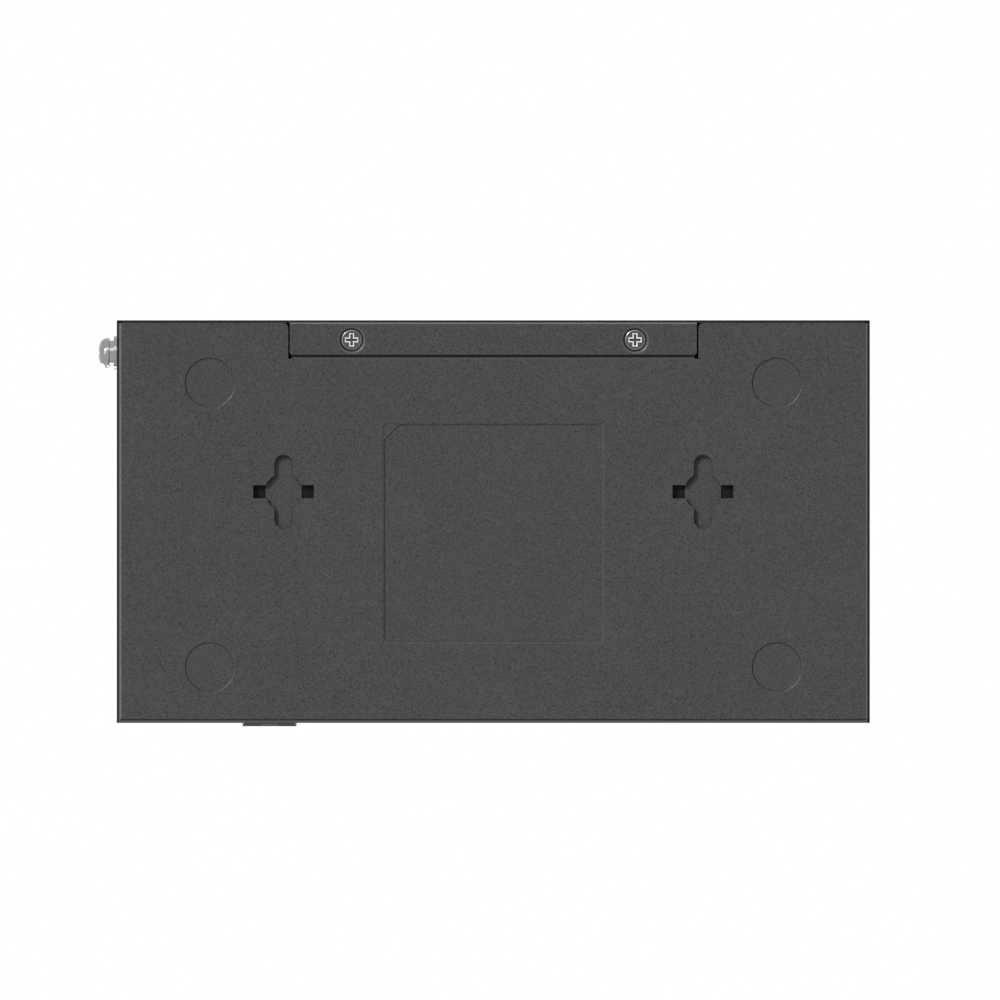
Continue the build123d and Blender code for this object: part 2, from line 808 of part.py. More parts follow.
# Collar of spring fingers around the mouth of the cage, open over the latch tongue
finger_profile = joggled_section(
    [(0, 0), (collar_ring, 0), (finger_crest, finger_bulge), (finger_length, 0)], collar_sheet)
mouth = Vector(cage_x, cage_front, cage_mid_z)
collar_sides = [((0, 0, 1), cage_width, cage_height, wide_finger_count),
                ((0, 0, -1), cage_width, cage_height, wide_finger_count),
                ((1, 0, 0), cage_height, cage_width, tall_finger_count),
                ((-1, 0, 0), cage_height, cage_width, tall_finger_count)]
with BuildPart() as module_collar:
    with BuildSketch(facing_front(cage_front, cage_x, cage_mid_z)):
        Rectangle(cage_width + 2 * collar_sheet, cage_height + 2 * collar_sheet)
        Rectangle(cage_width, cage_height, mode=Mode.SUBTRACT)
    extrude(amount=-collar_ring)
    for outward, side_length, span, count in collar_sides:
        along = Vector(0, 1, 0).cross(Vector(outward))
        finger_pitch = side_length / count
        finger_width = finger_pitch - finger_gap
        for place in range(count):
            start = (place - count / 2) * finger_pitch + finger_gap / 2
            corner = mouth + Vector(outward) * (span / 2) + along * start
            with BuildSketch(Plane(origin=corner, x_dir=(0, 1, 0), z_dir=along)):
                add(finger_profile)
            extrude(amount=finger_width)
    with BuildSketch(facing_front(cage_front, cage_x, board_top)):
        Rectangle(latch_tongue + 2 * latch_tongue_gap, 2 * (collar_sheet + finger_bulge))
    extrude(amount=-finger_length, mode=Mode.SUBTRACT)
save(module_collar.part, "module_collar")

with BuildPart() as module_connector:
    with BuildSketch(facing_front(cage_rear - cage_skin - module_socket_length - cutout_gap,
                                  cage_x, board_top)):
        Rectangle(module_socket_width, module_socket_height, align=(Align.CENTER, Align.MIN))
        with Locations((0, module_socket_height / 2)):
            Rectangle(module_slot_width, module_slot_height, mode=Mode.SUBTRACT)
    extrude(amount=-module_socket_length)
    with BuildSketch(facing_front(cage_rear - cage_skin - cutout_gap, cage_x, board_top)):
        Rectangle(module_socket_width, module_socket_height, align=(Align.CENTER, Align.MIN))
    extrude(amount=module_socket_length - module_slot_depth)
save(module_connector.part, "module_connector")

# Power inlet at the rear: moulded body, centre pin and the side spring in its groove
spring_low = power_z + power_mouth_radius + power_spring_seat
spring_rear = power_rear - power_spring_end
spring_front = power_rear - power_mouth_depth + power_spring_end
spring_mid = (spring_rear + spring_front) / 2
with BuildPart() as power_inlet:
    with BuildSketch(facing_front(power_rear, power_x, board_top)):
        Rectangle(power_body_width, power_body_height, align=(Align.CENTER, Align.MIN))
    extrude(amount=power_body_length)
    with BuildSketch(facing_front(power_rear, power_x, power_z)):
        Circle(power_mouth_radius)
        with Locations((0, power_spring_seat + power_spring_sheet)):
            Rectangle(power_spring_width + 2 * power_spring_gap, power_mouth_radius,
                      align=(Align.CENTER, Align.MIN))
    extrude(amount=power_mouth_depth, mode=Mode.SUBTRACT)
    with BuildSketch(facing_front(power_rear - power_mouth_depth, power_x, power_z)):
        Circle(power_root_radius)
    extrude(amount=power_body_length - power_mouth_depth, mode=Mode.SUBTRACT)
save(power_inlet.part, "power_inlet")

with BuildPart() as power_pin:
    with BuildSketch(facing_front(power_rear - power_pin_short, power_x, power_z)):
        Circle(power_pin_radius)
    extrude(amount=power_mouth_depth - power_pin_short)
    chamfer(power_pin.edges().group_by(Axis.Y)[-1], power_pin_chamfer)
    with BuildSketch(facing_front(power_rear - power_mouth_depth, power_x, power_z)):
        Circle(power_root_radius)
    extrude(amount=power_body_length - power_mouth_depth)
save(power_pin.part, "power_pin")

with BuildPart() as power_spring:
    with BuildSketch(facing_right(power_x - power_spring_width / 2)):
        add(joggled_section(
            [(spring_rear, spring_low), (spring_rear - power_spring_flat, spring_low),
             (spring_mid, spring_low - power_spring_bow),
             (spring_front + power_spring_flat, spring_low), (spring_front, spring_low)],
            power_spring_sheet))
    extrude(amount=power_spring_width)
save(power_spring.part, "power_spring")

# Lamps on the board, each under the drop of its light pipe
with BuildPart() as lamps:
    with BuildSketch(level(board_top)):
        with Locations(*[(x, pipe_drop_y) for x in lamp_xs]):
            Rectangle(lamp_width, lamp_length)
    extrude(amount=lamp_height)
save(lamps.part, "lamps")

pipe_foot = board_top + lamp_height + pipe_lamp_gap
with BuildPart() as light_pipe:
    with BuildSketch(facing_front(front_face + pipe_recess)):
        with Locations(*[(x, lamp_z) for x in lamp_xs]):
            Rectangle(pipe_width, pipe_height)
    extrude(amount=-(pipe_drop_y - front_face - pipe_recess))
    for x in lamp_xs:
        with BuildSketch(facing_right(x - pipe_width / 2)):
            with BuildLine():
                Polyline((pipe_drop_y - pipe_leg / 2, pipe_foot), (pipe_drop_y + pipe_leg / 2, pipe_foot),
                         (pipe_drop_y + pipe_leg / 2, lamp_z - pipe_height / 2),
                         (pipe_drop_y - pipe_leg / 2, lamp_z + pipe_height / 2), close=True)
            make_face()
        extrude(amount=pipe_width)
    with BuildSketch(level(pipe_foot)):
        with Locations(((lamp_xs[0] + lamp_xs[-1]) / 2, pipe_drop_y + pipe_leg / 2)):
            Rectangle(lamp_xs[0] - lamp_xs[-1] + pipe_width, pipe_web_sheet,
                      align=(Align.CENTER, Align.MAX))
    extrude(amount=pipe_web_height)

    # Two posts stand the moulding on the board beside the outer lamps
    with BuildSketch(level(board_top)):
        with Locations(*[(x, pipe_drop_y + pipe_leg / 2) for x in
                         (lamp_xs[0] - lamp_pitch / 2, lamp_xs[-1] + lamp_pitch / 2)]):
            Rectangle(pipe_web_sheet, pipe_web_sheet, align=(Align.CENTER, Align.MAX))
    extrude(amount=pipe_foot - board_top)
save(light_pipe.part, "light_pipe")

# Reset switch behind its pinhole: body and sprung stem
stem_z = board_top + reset_stem_z
with BuildPart() as reset_switch:
    with BuildSketch(facing_front(reset_body_front, reset_x, board_top)):
        Rectangle(reset_body_width, reset_body_height, align=(Align.CENTER, Align.MIN))
    extrude(amount=-reset_body_length)
    with BuildSketch(facing_front(reset_body_front, reset_x, stem_z)):
        Rectangle(reset_stem_width + 2 * reset_stem_clearance, reset_stem_height + 2 * reset_stem_clearance)
    extrude(amount=-(reset_stem_seat + reset_travel + reset_stem_clearance), mode=Mode.SUBTRACT)
save(reset_switch.part, "reset_switch")

with BuildPart() as reset_stem:
    with BuildSketch(facing_front(reset_body_front + reset_stem_seat, reset_x, stem_z)):
        Rectangle(reset_stem_width, reset_stem_height)
    extrude(amount=reset_stem_seat + reset_stem_length)
save(reset_stem.part, "reset_stem")


def around(centre, offsets):
    """Places given by their offsets from a centre."""
    return [(centre[0] + x, centre[1] + y) for x, y in offsets]


def block(name, places, size, base=board_top):
    """A group of like rectangular packages standing at the places."""
    with BuildPart() as group:
        with BuildSketch(level(base)):
            with Locations(*places):
                Rectangle(size[0], size[1])
        extrude(amount=size[2])
    save(group.part, name)


def cooler(name, place, base):
    """A finned block: one extruded comb with its fins along Y."""
    fin_pitch = (sink_side - sink_fin) / (sink_fin_count - 1)
    with BuildPart() as sink:
        with BuildSketch(facing_front(place[1] - sink_side / 2, place[0], base)):
            Rectangle(sink_side, sink_base, align=(Align.CENTER, Align.MIN))
            with GridLocations(fin_pitch, 0, sink_fin_count, 1):
                Rectangle(sink_fin, sink_height, align=(Align.CENTER, Align.MIN))
        extrude(amount=-sink_side)
    save(sink.part, name)


# Chips, their pads and their coolers
processor_top = board_top + processor_height
switch_top = board_top + switch_height
block("processor", [processor_place], (processor_side, processor_side, processor_height))
block("processor_pad", [processor_place], (processor_side, processor_side, pad_sheet), processor_top)
cooler("processor_cooler", processor_place, processor_top + pad_sheet)
block("switch_chip", [switch_place], (switch_side, switch_side, switch_height))
block("switch_pad", [switch_place], (switch_side, switch_side, pad_sheet), switch_top)
cooler("switch_cooler", switch_place, switch_top + pad_sheet)
block("memory_chips", around(processor_place, memory_from_processor), memory_size)
block("flash_chip", [flash_place], flash_size)
block("transformers", [(x, front_face + transformer_depth) for x in port_xs], transformer_size)
block("crystals", crystal_places, crystal_size)

with BuildPart() as inductors:
    with BuildSketch(level(board_top)) as inductor_outlines:
        with Locations(*around((power_x, rear_face), inductors_from_inlet)):
            Rectangle(inductor_side, inductor_side)
        chamfer(inductor_outlines.vertices(), inductor_corner)
    extrude(amount=inductor_height)
save(inductors.part, "inductors")

with BuildPart() as capacitors:
    with BuildSketch(level(board_top)):
        with Locations(*around((power_x, rear_face), capacitors_from_inlet)):
            Rectangle(capacitor_base_side, capacitor_base_side)
    extrude(amount=capacitor_base)
    with BuildSketch(level(board_top + capacitor_base)):
        with Locations(*around((power_x, rear_face), capacitors_from_inlet)):
            Circle(capacitor_radius)
    extrude(amount=capacitor_height - capacitor_base)
save(capacitors.part, "capacitors")
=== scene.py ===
import json
import math

import bpy
import numpy as np
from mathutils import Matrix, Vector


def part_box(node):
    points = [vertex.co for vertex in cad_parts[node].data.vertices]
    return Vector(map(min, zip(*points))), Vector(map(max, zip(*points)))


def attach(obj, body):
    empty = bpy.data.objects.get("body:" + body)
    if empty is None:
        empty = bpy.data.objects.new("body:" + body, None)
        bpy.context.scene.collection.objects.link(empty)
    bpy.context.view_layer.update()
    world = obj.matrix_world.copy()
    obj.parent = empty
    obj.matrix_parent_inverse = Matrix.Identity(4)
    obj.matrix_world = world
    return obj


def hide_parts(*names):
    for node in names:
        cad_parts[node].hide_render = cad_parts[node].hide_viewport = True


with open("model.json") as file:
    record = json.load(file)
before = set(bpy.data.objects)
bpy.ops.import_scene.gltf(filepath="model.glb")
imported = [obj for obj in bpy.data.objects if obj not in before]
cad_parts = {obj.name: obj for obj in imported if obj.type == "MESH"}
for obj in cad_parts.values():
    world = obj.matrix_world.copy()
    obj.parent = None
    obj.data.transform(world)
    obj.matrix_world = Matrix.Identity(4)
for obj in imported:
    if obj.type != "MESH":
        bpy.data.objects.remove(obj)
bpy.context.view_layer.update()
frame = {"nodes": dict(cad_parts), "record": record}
nodes = frame["nodes"]

# A millimetre in metres, and the middle and width of the picture as the photograph frames them
MM = 0.001
UNDERSIDE_CENTRE = (-1.797 * MM, 5.794 * MM)
PICTURE_WIDTH = 268.22 * MM

# Shifts noise, so that no flat face of the part lies on a plane of its lattice, where it varies less
OFF_LATTICE = (0.00731, 0.00513, 0.01157)


class Sock:
    """An output of a node tree; arithmetic on it adds math nodes."""

    def __init__(self, net, out):
        self.net = net
        self.out = out

    def math(self, operation, *others):
        """A math node on this output and up to two others."""
        return self.net.node("ShaderNodeMath", [self, *others], operation=operation)

    def __add__(self, other):
        return self.math("ADD", other)

    def __sub__(self, other):
        return self.math("SUBTRACT", other)

    def __mul__(self, other):
        return self.math("MULTIPLY", other)

    def __truediv__(self, other):
        return self.math("DIVIDE", other)

    def __radd__(self, other):
        return self.net.node("ShaderNodeMath", [other, self], operation="ADD")

    def __rsub__(self, other):
        return self.net.node("ShaderNodeMath", [other, self], operation="SUBTRACT")

    def __rmul__(self, other):
        return self.net.node("ShaderNodeMath", [other, self], operation="MULTIPLY")

    def __rtruediv__(self, other):
        return self.net.node("ShaderNodeMath", [other, self], operation="DIVIDE")

    def __pow__(self, other):
        return self.math("POWER", other)

    def __gt__(self, other):
        return self.math("GREATER_THAN", other)

    def __abs__(self):
        return self.math("ABSOLUTE")

    def clamp(self, low=0.0, high=1.0):
        return self.math("MAXIMUM", low).math("MINIMUM", high)


class Net:
    """A node tree that is filled by calling node, mix and so on."""

    def __init__(self, tree):
        self.tree = tree

    def node(self, kind, inputs=(), output=0, **settings):
        """Adds any node: settings are its properties, inputs its values or sockets by place or name."""
        made = self.tree.nodes.new(kind)
        for key, value in settings.items():
            setattr(made, key, value)
        pairs = inputs.items() if isinstance(inputs, dict) else enumerate(inputs)
        for key, value in pairs:
            if isinstance(value, Sock):
                self.tree.links.new(value.out, made.inputs[key])
            else:
                made.inputs[key].default_value = value
        return Sock(self, made.outputs[output]) if len(made.outputs) else None

    def place(self):
        """Object coordinates, in metres."""
        return self.node("ShaderNodeTexCoord", output="Object")

    def noise(self, scale, detail=2.0, roughness=0.5, distortion=0.0, stretch=None):
        """Smooth noise from 0 to 1, stretched along the axes by the three factors."""
        where = self.node("ShaderNodeVectorMath", [self.place(), OFF_LATTICE], operation="ADD")
        if stretch:
            where = self.node("ShaderNodeVectorMath", [where, stretch], operation="MULTIPLY")
        return self.node("ShaderNodeTexNoise", {"Vector": where, "Scale": scale, "Detail": detail,
                                                "Roughness": roughness, "Distortion": distortion})

    def colour(self, factor, low, high):
        """A colour between two others."""
        low, high = (c if isinstance(c, Sock) else (*c, 1.0) for c in (low, high))
        return self.node("ShaderNodeMix", {0: factor, 6: low, 7: high}, output=2, data_type="RGBA")

    def bump(self, height, distance):
        """A normal bent as if a height of 1 stood out by the distance, in metres."""
        return self.node("ShaderNodeBump", {"Height": height, "Distance": distance, "Strength": 1.0})


def material(name, **constants):
    """A new material and its net, with constants set on the Principled shader."""
    made = bpy.data.materials.new(name)
    made.use_nodes = True
    net = Net(made.node_tree)
    net.shader = made.node_tree.nodes["Principled BSDF"]
    for key, value in constants.items():
        net.shader.inputs[key.replace("_", " ")].default_value = value
    return made, net


def drive(net, **sockets):
    """Links sockets to inputs of the Principled shader."""
    for key, sock in sockets.items():
        net.tree.links.new(sock.out, net.shader.inputs[key.replace("_", " ")])


def band(value, low, high, soft=0.1):
    """1 from low to high and 0 beyond, in millimetres: the product of two ramps of the soft width."""
    up = (value - low * MM) / (soft * MM) + 0.5
    down = (high * MM - value) / (soft * MM) + 0.5
    return up.clamp() * down.clamp()


def inside(value, edge, far, near, soft=0.1):
    """1 between a near and a far distance inwards of an edge, in millimetres. A near distance below
    zero reaches past the edge."""
    return band(value, edge - far, edge - near, soft)


def within(value, reach):
    """1 up to a reach on both sides of the middle, in millimetres."""
    return band(abs(value), -PAST, reach)


def under(z, top, soft=0.1):
    """1 from below the underside up to a height, in millimetres."""
    return band(z, -PAST, top, soft)


def rise(value, start):
    """A ramp from 0 to 1 over the width of a rim, from a start in millimetres."""
    return ((value - start * MM) / (RIM_WIDTH * MM)).clamp()


def beside(value, distance):
    """The place measured from the nearer of two points, at plus and minus a distance in millimetres."""
    return value - ((value > 0.0) * 2.0 - 1.0) * (distance * MM)


def away(x, y):
    """Distance from the origin in the plane: the root of the sum of the squared places."""
    return (x * x + y * y) ** 0.5


def from_screw(x, y):
    """Distance from the axis of the nearer cover screw."""
    return away(beside(x, SCREW_X), y - SCREW_Y * MM)


def side_painted_shade(x, y, z):
    """Painted shade on the outer half of the bends at both sides."""
    return inside(abs(x), SIDE, far=0.66, near=-PAST, soft=0.2) * under(z, BEND_TOP, 0.3)


def side_painted_highlight(x, y, z):
    """Painted highlight where the bends at both sides start."""
    return inside(abs(x), SIDE, far=1.15, near=0.68) * under(z, 0.3)


def rear_painted_shade(x, y, z):
    """Painted shade on the outer half of the cover's rear bend."""
    return inside(y, REAR, far=0.52, near=-PAST, soft=0.15) * under(z, BEND_TOP, 0.3)


def rear_painted_highlight(x, y, z):
    """Painted highlight where the rear bend starts."""
    return inside(y, REAR, far=1.02, near=0.6) * under(z, 0.5)


def corner_painted_shade(x, y, z):
    """Painted shade in the open corners between the side bends and the rear bend."""
    side = inside(abs(x), SIDE, far=1.4, near=-PAST)
    return side * inside(y, REAR, far=0.8, near=-PAST) * under(z, BEND_TOP, 0.3)


def front_seam_painted_shade(x, y, z):
    """Painted shade in the seam between the tray and the front."""
    return inside(y * -1.0, REAR, far=1.08, near=0.78) * under(z, BEND_TOP, 0.3)


def gap_painted_shadow(x, y, z):
    """Painted shadow in the gap along the flap's front edge."""
    return inside(y, FLAP_FRONT, far=0.7, near=0.04) * within(x, FLAP_SIDE) * under(z, JOGGLE_TOP)


def gap_painted_highlight(x, y, z):
    """Painted highlight along the gap, where the flap slides in."""
    return inside(y, FLAP_FRONT, far=1.2, near=0.72) * within(x, FLAP_SIDE) * under(z, JOGGLE_TOP)


def seat_painted_shade(x, y, z):
    """Painted shade in the screws' seats, in a ring about each screw."""
    return band(from_screw(x, y), low=2.6, high=3.08) * under(z, JOGGLE_TOP)


def seat_painted_highlight(x, y, z):
    """Painted highlight round the screws' seats."""
    return inside(from_screw(x, y), SEAT_RADIUS, far=0.1, near=-0.3) * under(z, 1.0)


def keyhole_edge_painted_shade(x, y, z):
    """Painted shade on the keyholes' broken edges, which lie just above the underside."""
    x, y = beside(x, KEY_X), y - KEY_Y * MM
    return within(x, KEY_REACH_X) * within(y, KEY_REACH_Y) * band(z, low=0.03, high=0.2, soft=0.04)


def tray_rims(x, y, z):
    """Soft rims, as a height: ramps up out of the foot places and the label place and away from
    the flap's gap, and down to the bends at the sides, all on the underside only."""
    foot = rise(away(beside(x, FOOT_X), beside(y - FOOT_MIDDLE * MM, FOOT_Y)), FOOT_RADIUS - 0.3)
    past_label = abs(y - LABEL_MIDDLE * MM) - LABEL_Y * MM
    label = rise((abs(x) - LABEL_X * MM).math("MAXIMUM", past_label), -0.05)
    gap = rise(FLAP_FRONT * MM - y, 0.74) + (1.0 - within(x, FLAP_SIDE))
    side = rise(abs(x), SIDE - 1.35)
    return (foot + label + gap.clamp() - side) * under(z, BEND_TOP)


def cover_rims(x, y, z):
    """Soft rims, as a height: ramps up out of the screws' seats and down to the rear bend."""
    seat = rise(from_screw(x, y), SEAT_RADIUS - 0.1)
    return (seat - rise(y, REAR - 1.1)) * under(z, BEND_TOP)


def powder_coat(name, level, spread, grain=0.04, roughness=0.3, marks=(), rims=None):
    """Fine textured paint: sand-like grains with some thread-like ridges between them. Each mark is
    a function of the place, with the share of the level that the colour has there. The marks paint
    shade where the share is below 1 and highlights where it is above 1."""
    made, net = material(name, Specular_IOR_Level=0.2)
    grains = net.noise(GRAIN_SCALE, 1.0)
    threads = net.noise(THREAD_SCALE, 1.0, distortion=1.5)
    ridges = (abs(threads - 0.5) * 6.0).clamp()
    height = grains * 0.7 - ridges * 0.3
    patches = net.noise(PATCH_SCALE)
    tone = ((grains - 0.5) * 1.6 + 0.5 - (ridges - 0.5) * 0.25 + (patches - 0.5) * 0.2).clamp()
    low = tuple(c * (1 - spread) for c in level)
    high = tuple(c * (1 + spread) for c in level)
    colour, gloss = net.colour(tone, low, high), (grains - 0.5) * 0.2 + roughness
    spot = [net.node("ShaderNodeSeparateXYZ", [net.place()], output=axis) for axis in "XYZ"]
    if rims:
        height = height + rims(*spot) * (RIM_HEIGHT / grain)
    for mark, share in marks:
        where = mark(*spot)
        colour = net.colour(where, colour, tuple(c * share for c in level))
        # Rougher where a mark paints shade
        gloss = gloss + where * (PAINTED_SHADE_ROUGHNESS if share < 1 else 0.0)
    drive(net, Base_Color=colour, Roughness=gloss, Normal=net.bump(height, grain * MM))
    return made


def metal(name, colour, roughness, scratch=0.06, scale=400.0, stretch=(1.0, 1.0, 0.1)):
    """Plated or bare metal with fine drawn lines and uneven polish."""
    made, net = material(name, Metallic=1.0)
    lines = net.noise(scale, 3.0, 0.6, 0.0, stretch)
    stains = net.noise(90.0, 2.0)
    low = tuple(c * 0.94 for c in colour)
    drive(net, Base_Color=net.colour(stains, low, colour), Roughness=(lines - 0.5) * scratch + roughness,
          Normal=net.bump(lines, 0.004 * MM))
    return made


def black_nickel_with_painted_highlights(name, dark, bright, roughness):
    """Dark plating with a painted highlight on the edges of the face and of the recess, by the depth
    below the face."""
    made, net = material(name, Metallic=1.0)
    depth = net.node("ShaderNodeSeparateXYZ", [net.place()], output="Z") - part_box("cover_screws")[0].z
    stains = net.noise(300.0, 2.0)
    edge_highlight = band(depth, 0.02, 0.4, 0.03) * (stains * 0.3 + 0.85).clamp()
    drive(net, Base_Color=net.colour(edge_highlight, dark, bright), Roughness=stains * 0.1 + roughness)
    return made


def moulding(name, colour, roughness=0.45, grain=0.01, **constants):
    """Moulded plastic with a faint spark-eroded skin."""
    made, net = material(name, **constants)
    grains = net.noise(2500.0, 2.0, 0.6)
    sheen = net.noise(50.0, 2.0)
    low = tuple(c * 0.8 for c in colour)
    drive(net, Base_Color=net.colour(sheen, low, colour), Roughness=(grains - 0.5) * 0.15 + roughness,
          Normal=net.bump(grains, grain * MM))
    return made


def board_mask(name):
    """Solder mask over copper: darker where there is none, with fine tracks."""
    made, net = material(name, Coat_Weight=0.3, Coat_Roughness=0.1)
    cells = net.node("ShaderNodeTexVoronoi", {"Vector": net.place(), "Scale": 300.0}, output="Distance",
                     feature="DISTANCE_TO_EDGE", distance="MANHATTAN")
    tracks = (cells * 12.0).clamp()
    drive(net, Base_Color=net.colour(tracks, (0.01, 0.06, 0.025), (0.02, 0.14, 0.05)),
          Roughness=net.noise(80.0) * 0.2 + 0.3, Normal=net.bump(tracks, 0.03 * MM))
    return made


def clear_moulding(name):
    """Clear plastic with faint flow marks."""
    made, net = material(name, Transmission_Weight=0.9, IOR=1.49)
    flow = net.noise(300.0, 2.0, 0.5, 1.0)
    drive(net, Base_Color=net.colour(flow, (0.85, 0.88, 0.9), (0.95, 0.97, 0.98)),
          Roughness=flow * 0.1 + 0.1)
    return made


GREY = (0.068, 0.068, 0.069)
GRAIN_SCALE, THREAD_SCALE, PATCH_SCALE = 2300.0, 1500.0, 60.0
# Roughness added where a mark paints shade
PAINTED_SHADE_ROUGHNESS = 0.3

# Sizes of the case's underside, in millimetres from the frame's origin
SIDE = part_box("base_tray")[1].x / MM
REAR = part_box("top_cover")[1].y / MM
FLAP_LENGTH, FLAP_SIDE = 9.23, 54.6
FLAP_FRONT = REAR - FLAP_LENGTH
FOOT_X, FOOT_Y, FOOT_MIDDLE, FOOT_RADIUS = 76.05, 38.15, -0.9, 6.65
LABEL_X, LABEL_Y, LABEL_MIDDLE = 29.25, 29.2, -3.1
KEY_X, KEY_Y = 56.3, 7.94
KEY_REACH_X, KEY_REACH_Y = 4.8, 11.0
SCREWS_LOW, SCREWS_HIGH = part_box("cover_screws")
SCREW_X = (SCREWS_HIGH.x - SCREWS_LOW.x - (SCREWS_HIGH.y - SCREWS_LOW.y)) / 2 / MM
SCREW_Y = (SCREWS_HIGH.y + SCREWS_LOW.y) / 2 / MM
SEAT_RADIUS = 3.35

# How high marks on the bends and in the flap's joggle reach, how far marks run past an edge, and
# the width and height of the soft rims, in millimetres
BEND_TOP, JOGGLE_TOP, PAST = 1.5, 4.0, 1.0
RIM_WIDTH, RIM_HEIGHT = 0.5, 0.16

# Marks with a share below 1 paint shade into the paint's colour, and marks above 1 paint highlights
LOOKS = {
    "case_paint": powder_coat("case paint", GREY, 0.45, marks=(
        (side_painted_shade, 0.06), (side_painted_highlight, 2.5), (gap_painted_shadow, 0.03), (gap_painted_highlight, 1.7), (corner_painted_shade, 0.05),
        (front_seam_painted_shade, 0.3), (keyhole_edge_painted_shade, 0.5)), rims=tray_rims),
    "cover_paint": powder_coat("cover paint", tuple(c * 0.98 for c in GREY), 0.45, marks=(
        (rear_painted_shade, 0.06), (rear_painted_highlight, 2.7), (seat_painted_shade, 0.06), (seat_painted_highlight, 1.8), (corner_painted_shade, 0.05)),
        rims=cover_rims),
    "panel_paint": powder_coat("panel paint", (0.085, 0.085, 0.088), 0.12, 0.02, 0.5,
                               ((front_seam_painted_shade, 0.3), (side_painted_shade, 0.2))),
    "bright_screw": metal("bright nickel", (0.32, 0.32, 0.325), 0.12, 0.05, 500.0, (1.0, 1.0, 1.0)),
    "plated_steel": metal("tin plate", (0.62, 0.62, 0.64), 0.3, 0.15),
    "cage_steel": metal("cage plate", (0.11, 0.11, 0.11), 0.35, 0.15),
    "spring_alloy": metal("spring plate", (0.07, 0.07, 0.07), 0.3, 0.1),
    # The cover screws' bright recess edges are a painted highlight
    "flap_screw": black_nickel_with_painted_highlights("black nickel with painted edge highlights", (0.085, 0.085, 0.087), (0.95, 0.95, 0.96), 0.2),
    "black_moulding": moulding("black moulding", (0.015, 0.015, 0.016)),
    "stem_moulding": moulding("stem moulding", (0.03, 0.03, 0.03)),
    "gold_plating": metal("gold flash", (0.9, 0.62, 0.25), 0.22, 0.08),
    "pin_plating": metal("pin plate", (0.75, 0.75, 0.76), 0.18, 0.08, 500.0, (1.0, 0.1, 1.0)),
    "board_laminate": board_mask("solder mask"),
    "black_film": moulding("polyester film", (0.006, 0.006, 0.006), 0.6, Specular_IOR_Level=0.15),
    "clear_moulding": clear_moulding("clear moulding"),
    "lamp_body": moulding("lamp body", (0.85, 0.85, 0.7), 0.3),
    "chip_epoxy": moulding("chip epoxy", (0.025, 0.025, 0.027), 0.5, 0.02),
    "pad_silicone": moulding("silicone pad", (0.45, 0.5, 0.55), 0.7, 0.03),
    "cooler_aluminium": metal("black anodised", (0.04, 0.04, 0.045), 0.45, 0.2, 400.0, (1.0, 0.1, 1.0)),
    "inductor_ferrite": moulding("pressed powder", (0.12, 0.12, 0.13), 0.6, 0.04),
    "capacitor_can": metal("drawn can", (0.75, 0.75, 0.77), 0.25, 0.1),
    "crystal_can": metal("crystal can", (0.7, 0.7, 0.68), 0.28, 0.1),
}
for part in frame["record"]["subparts"]:
    mesh = nodes[part["node"]].data
    mesh.materials.clear()
    mesh.materials.append(LOOKS[part["material_slot"]])

# Screws: smooth heads with cross recesses and threads, as surfaces over turn and profile
TURNS = 192
THREAD_TURN_ROWS = 10
FACE_ROWS, DOME_ROWS = 84, 96
RECESS_CHAMFER = 0.36 * MM

# Of each screw its radius, its pitch, its thread's depth and its recess: span, width of a bar,
# depth and width of a wall
M3_RADIUS, M3_PITCH, M3_THREAD = 1.5 * MM, 0.5 * MM, 0.25 * MM
M3_CROSS = (3.65 * MM, 1.35 * MM, 1.0 * MM, 0.15 * MM)
M4_RADIUS, M4_PITCH, M4_THREAD = 2.0 * MM, 0.7 * MM, 0.35 * MM
M4_CROSS = (4.4 * MM, 1.2 * MM, 1.7 * MM, 0.3 * MM)


def bar_depth(along, across, span, width):
    """How far inside a bar a point lies: the lesser of its distances to the ends and to the sides."""
    return np.minimum(span / 2 - np.abs(along), width / 2 - np.abs(across))


def recess(x, y, span, width, depth, wall):
    """Depth of a cross recess: two crossed bars with a chamfer of 45 degrees, inside which walls
    fall in an S-curve over the width of a wall to a flat floor."""
    inward = np.maximum(bar_depth(x, y, span, width), bar_depth(y, x, span, width))
    chamfer = np.clip(inward, 0.0, RECESS_CHAMFER)
    fall = np.clip((inward - RECESS_CHAMFER) / wall, 0.0, 1.0)
    return chamfer + depth * fall ** 2 * (3 - 2 * fall)


def screw_surface(face, flank, shank_radius, shank_end, pitch, thread, cross):
    """Points of a screw whose axis is +Z and whose head faces +Z, rows along the profile and
    columns round the axis. The face's rows drop by the cross recess. The flank's rows are plain
    turned ones. The shank's rows lie below each other, and their radius swings between the outer
    radius and the thread's root as a triangle wave of height over pitch plus turn."""
    angle = np.linspace(0.0, 2 * math.pi, TURNS, endpoint=False)[None, :]
    face_r, face_z = (np.asarray(v)[:, None] for v in face)
    x, y = face_r * np.cos(angle), face_r * np.sin(angle)
    rows = [np.stack([x, y, face_z - recess(x, y, *cross)], axis=-1)]
    flank_r, flank_z = (np.asarray(v)[:, None] for v in flank)
    still = np.ones_like(angle)
    rows.append(np.stack([flank_r * np.cos(angle), flank_r * np.sin(angle), flank_z * still], axis=-1))
    start = flank[1][-1]
    count = int(THREAD_TURN_ROWS * (start - shank_end) / pitch)
    height = np.linspace(start, shank_end, count)[:, None]
    wave = np.abs(((height / pitch + angle / (2 * math.pi)) % 1.0) * 2 - 1)
    taper = np.clip((height - shank_end) / (2 * thread), 0.0, 1.0)
    radius = (shank_radius - thread * wave) * taper + (shank_radius - thread) * (1 - taper)
    rows.append(np.stack([radius * np.cos(angle), radius * np.sin(angle), height * still], axis=-1))
    rows.append(rows[-1][-1:] * (0.0, 0.0, 1.0))
    return np.concatenate(rows)


